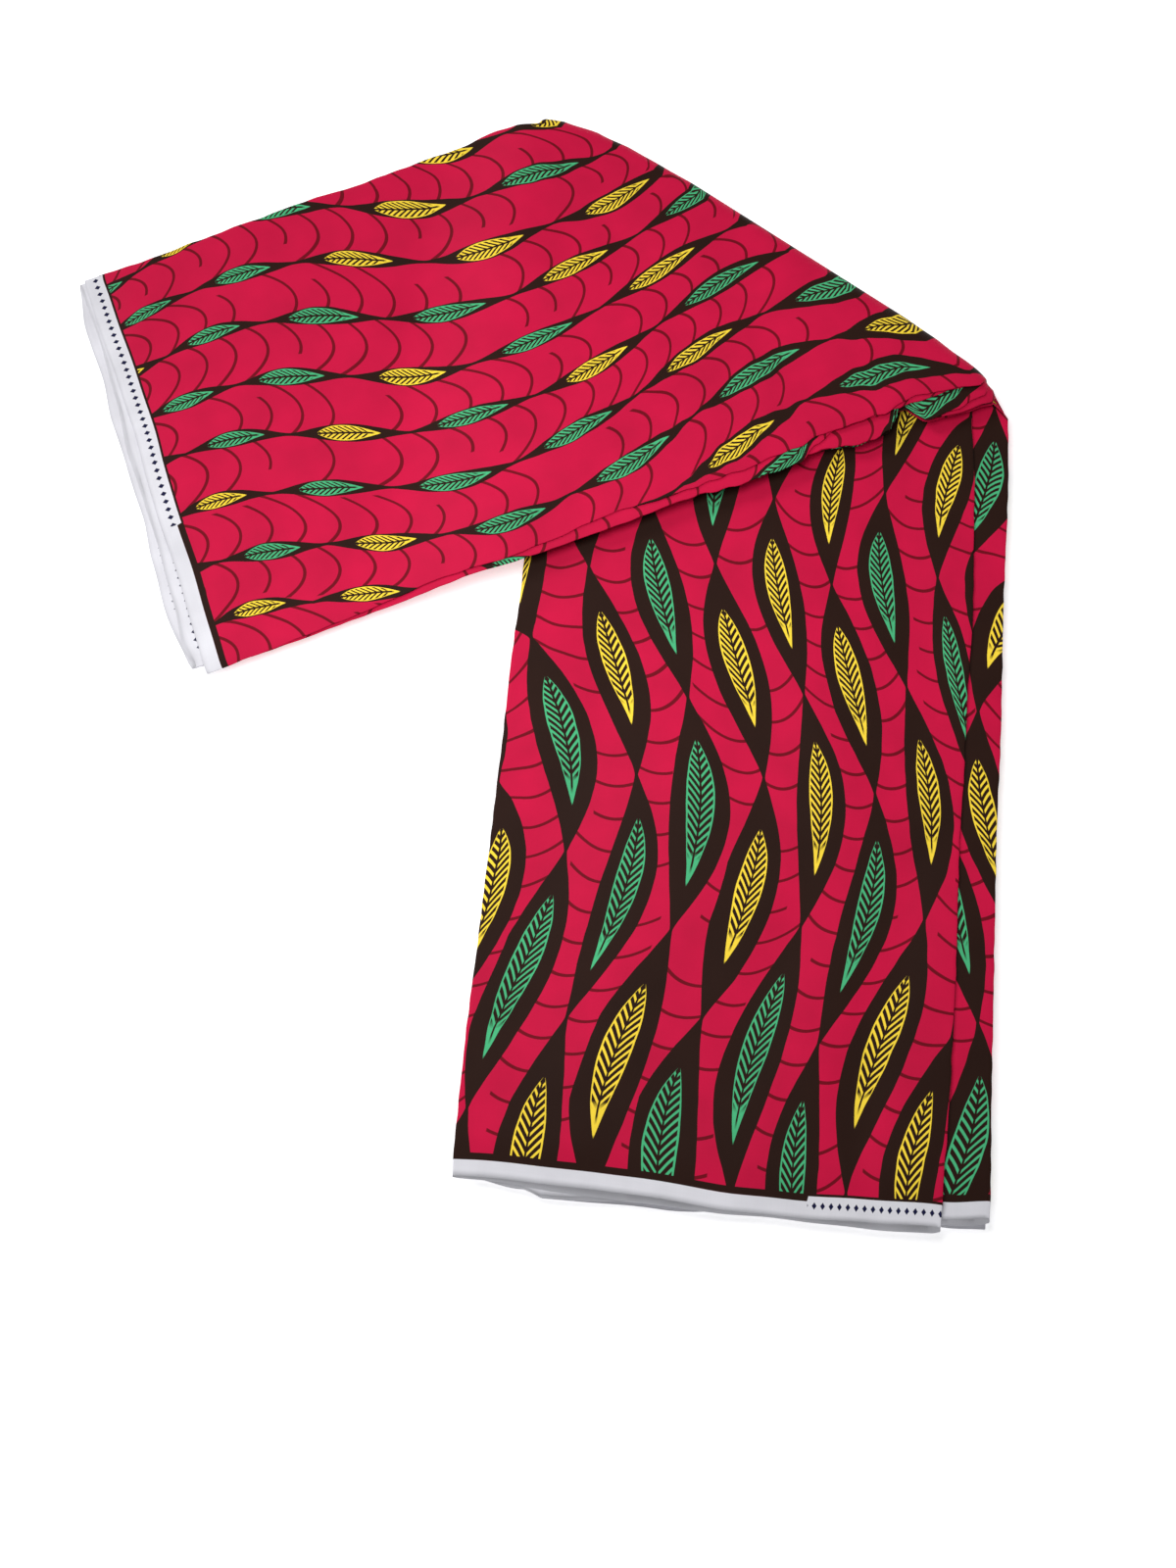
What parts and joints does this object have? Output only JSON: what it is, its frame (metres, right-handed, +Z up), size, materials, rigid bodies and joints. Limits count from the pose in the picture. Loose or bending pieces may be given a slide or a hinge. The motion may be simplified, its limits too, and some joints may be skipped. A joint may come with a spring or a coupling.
{
  "type": "folded wax print fabric",
  "caption": "Length of printed wax cotton folded lengthwise into a flat layered strip and turned over once on a diagonal, so that its two arms make an angle.",
  "frame": {"origin": "middle of the cloth's outline seen from above, at the level of the surface it lies on", "axes": "+Z up; -Y along the lower arm toward the viewer, leaning a little to -X; -X and -Y along the upper arm; the diagonal bend is at +X, +Y"},
  "size_m": [0.6748, 0.831, 0.0223],
  "materials": {
    "wax_print_cotton": "crimson printed cotton, flat and crisp, with a faint sheen",
    "folded_layers_cotton": "edges of the folded layers, crimson cotton"
  },
  "bodies": {
    "root": {"lower_arm_layers": "folded_layers_cotton", "lower_arm_ledge_ply": "wax_print_cotton", "lower_arm_top_ply": "wax_print_cotton", "upper_arm_layers": "folded_layers_cotton", "upper_arm_third_ply": "wax_print_cotton", "upper_arm_second_ply": "wax_print_cotton", "upper_arm_top_ply": "wax_print_cotton"}
  },
  "joints": []
}
